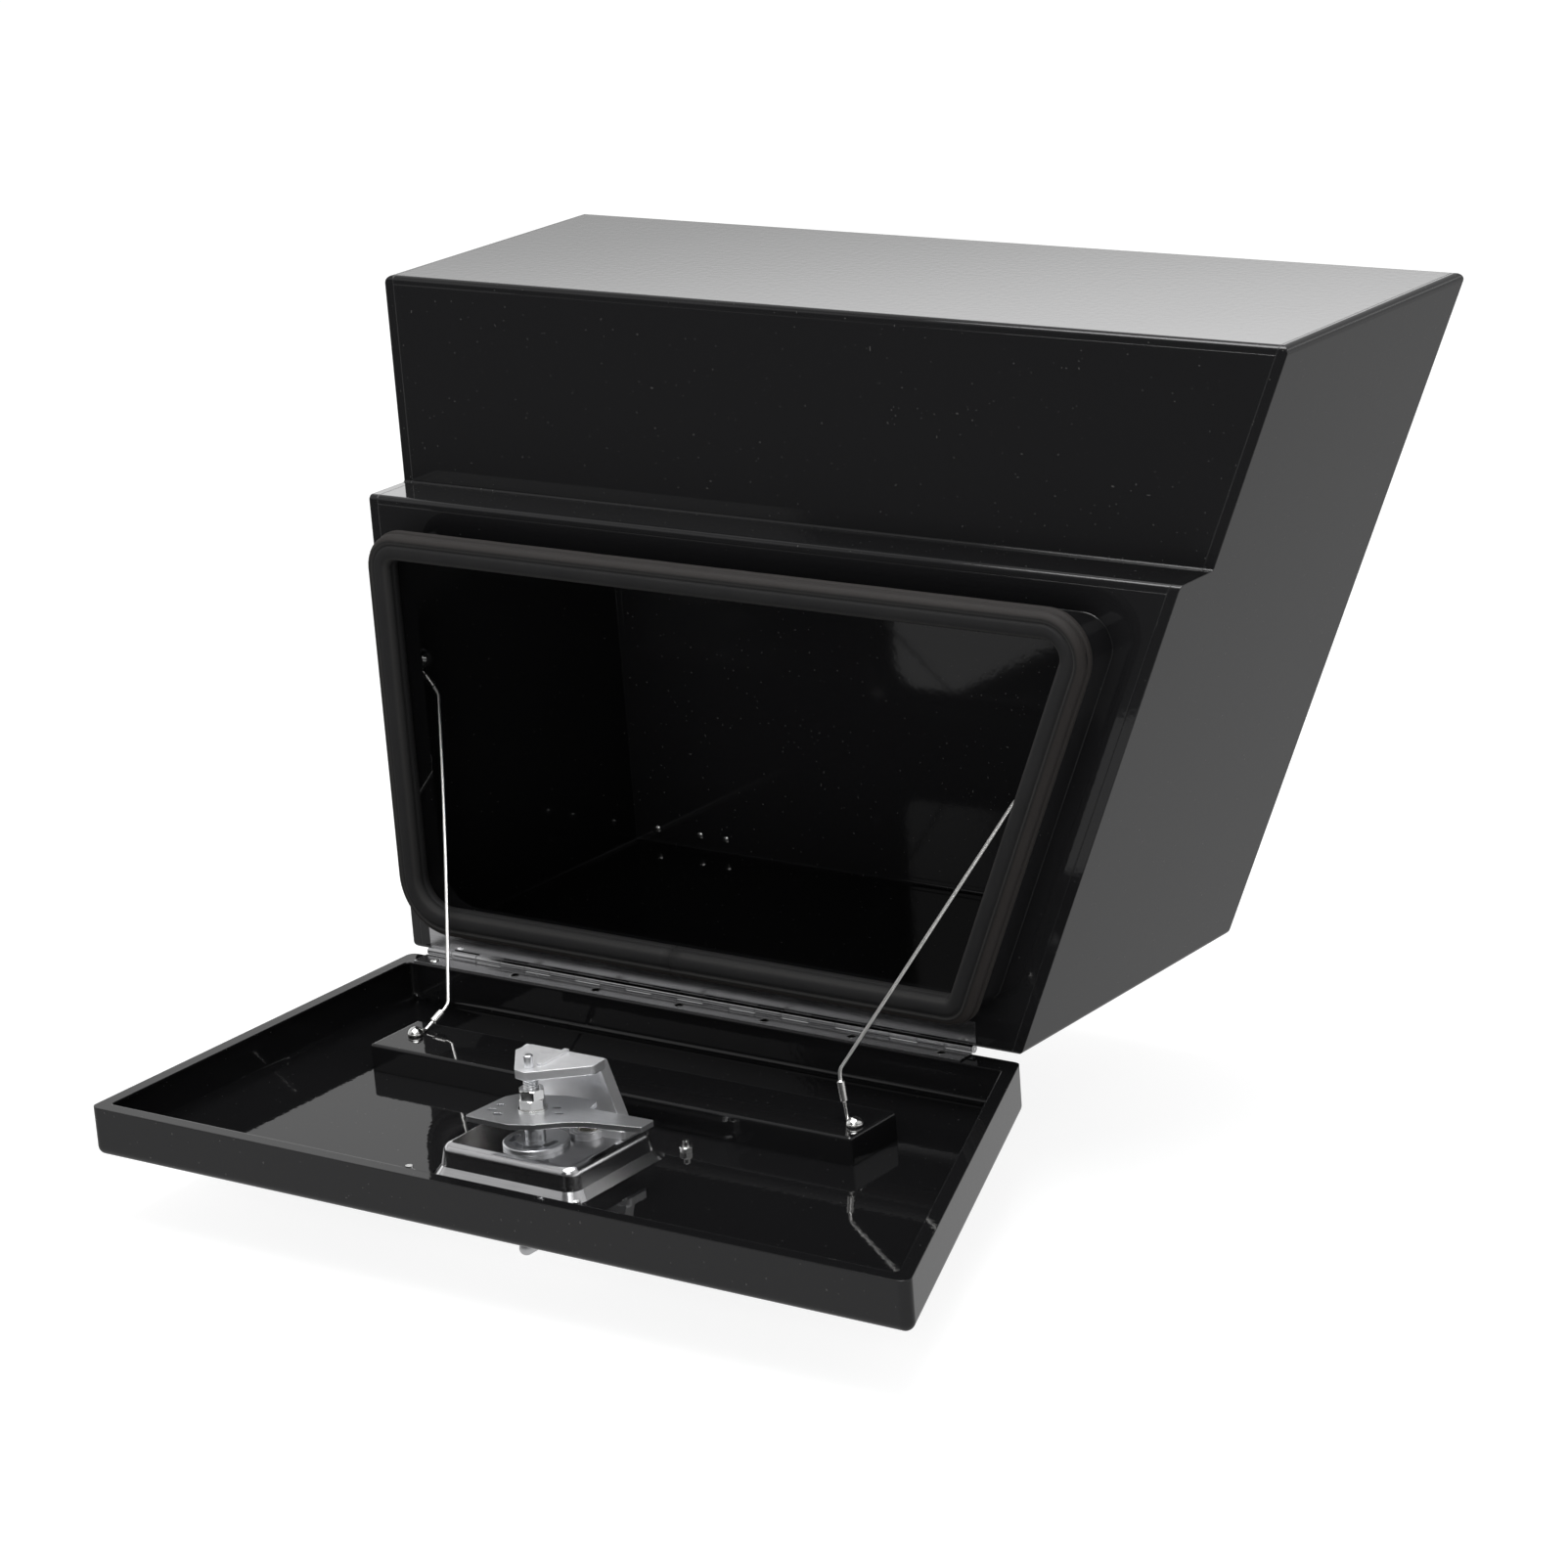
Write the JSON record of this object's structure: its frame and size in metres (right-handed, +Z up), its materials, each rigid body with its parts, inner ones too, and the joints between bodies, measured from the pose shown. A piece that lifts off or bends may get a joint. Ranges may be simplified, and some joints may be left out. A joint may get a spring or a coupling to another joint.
{
  "type": "truck tool box",
  "caption": "Under-tray steel tool box with one slanting end and a drop-down door on a piano hinge, wire stays, mouth seal and a recessed folding T-handle latch.",
  "frame": {"origin": "centre of the top panel's upper face, the face that bolts under a tray", "axes": "+Z up and square to the top face, -Y towards the door, +X along the box towards its slanting end"},
  "size_m": [0.5982, 0.4957, 0.468],
  "materials": {
    "powder_coat": "gloss black powder coat with fine orange peel",
    "seal_rubber": "dark grey sponge rubber with lengthwise ridges",
    "stainless_sheet": "bright stainless sheet, lightly brushed",
    "bright_fixings": "bright stainless fixings",
    "zinc_steel": "bright zinc-plated steel",
    "zinc_casting": "satin die-cast zinc alloy",
    "brass_key": "nickel-worn brass key plug",
    "crimped_steel": "crimped steel wire eye",
    "stay_wire": "fine stranded wire under clear coating"
  },
  "bodies": {
    "root": {"top_panel": "powder_coat", "upper_front_panel": "powder_coat", "front_frame": "powder_coat", "left_side_panel": "powder_coat", "right_side_panel": "powder_coat", "back_panel": "powder_coat", "floor_panel": "powder_coat", "door_seal": "seal_rubber", "body_rivets": "bright_fixings", "hinge_leaf_box": "stainless_sheet", "hinge_pin": "bright_fixings", "stay_studs": "bright_fixings", "stay_stud_washers": "bright_fixings", "stay_stud_nuts": "bright_fixings", "upper_eye_left": "crimped_steel", "upper_eye_right": "crimped_steel", "stay_wire_left": "stay_wire", "stay_wire_right": "stay_wire"},
    "door": {"door_pan": "powder_coat", "door_stiffener": "powder_coat", "hinge_leaf_door": "stainless_sheet", "hinge_rivets": "bright_fixings", "lock_dish": "stainless_sheet", "lock_screws": "bright_fixings", "lock_nuts": "bright_fixings", "bearing_disc": "zinc_steel", "steady_bracket": "zinc_casting", "bracket_screws": "bright_fixings", "key_housing": "zinc_casting", "stay_bolts": "bright_fixings", "stay_bolt_nuts": "bright_fixings", "lower_eye_left": "crimped_steel", "lower_eye_right": "crimped_steel"},
    "latch": {"latch_spindle": "zinc_steel", "cam_plate": "zinc_steel", "cam_washer": "bright_fixings", "cam_nuts": "bright_fixings", "fold_pin": "bright_fixings"},
    "handle": {"t_handle": "zinc_casting"},
    "key": {"key_plug": "brass_key"}
  },
  "joints": [
    {"name": "door_hinge", "type": "hinge", "parent": "root", "child": "door", "pos_m": [-0.092, -0.1264, -0.3975], "axis": [-1, 0, 0], "range_deg": [0, 90], "deforming": ["stay_wire_left", "stay_wire_right"]},
    {"name": "latch_turn", "type": "hinge", "parent": "door", "child": "latch", "pos_m": [-0.052, -0.319, -0.4], "axis": [0, 0, -1], "range_deg": [0, 90]},
    {"name": "handle_fold", "type": "hinge", "parent": "latch", "child": "handle", "pos_m": [-0.052, -0.319, -0.422], "axis": [0, 1, 0], "range_deg": [0, 90]},
    {"name": "key_turn", "type": "hinge", "parent": "door", "child": "key", "pos_m": [-0.0348, -0.2967, -0.4095], "axis": [0, 0, 1], "range_deg": [0, 90]}
  ]
}
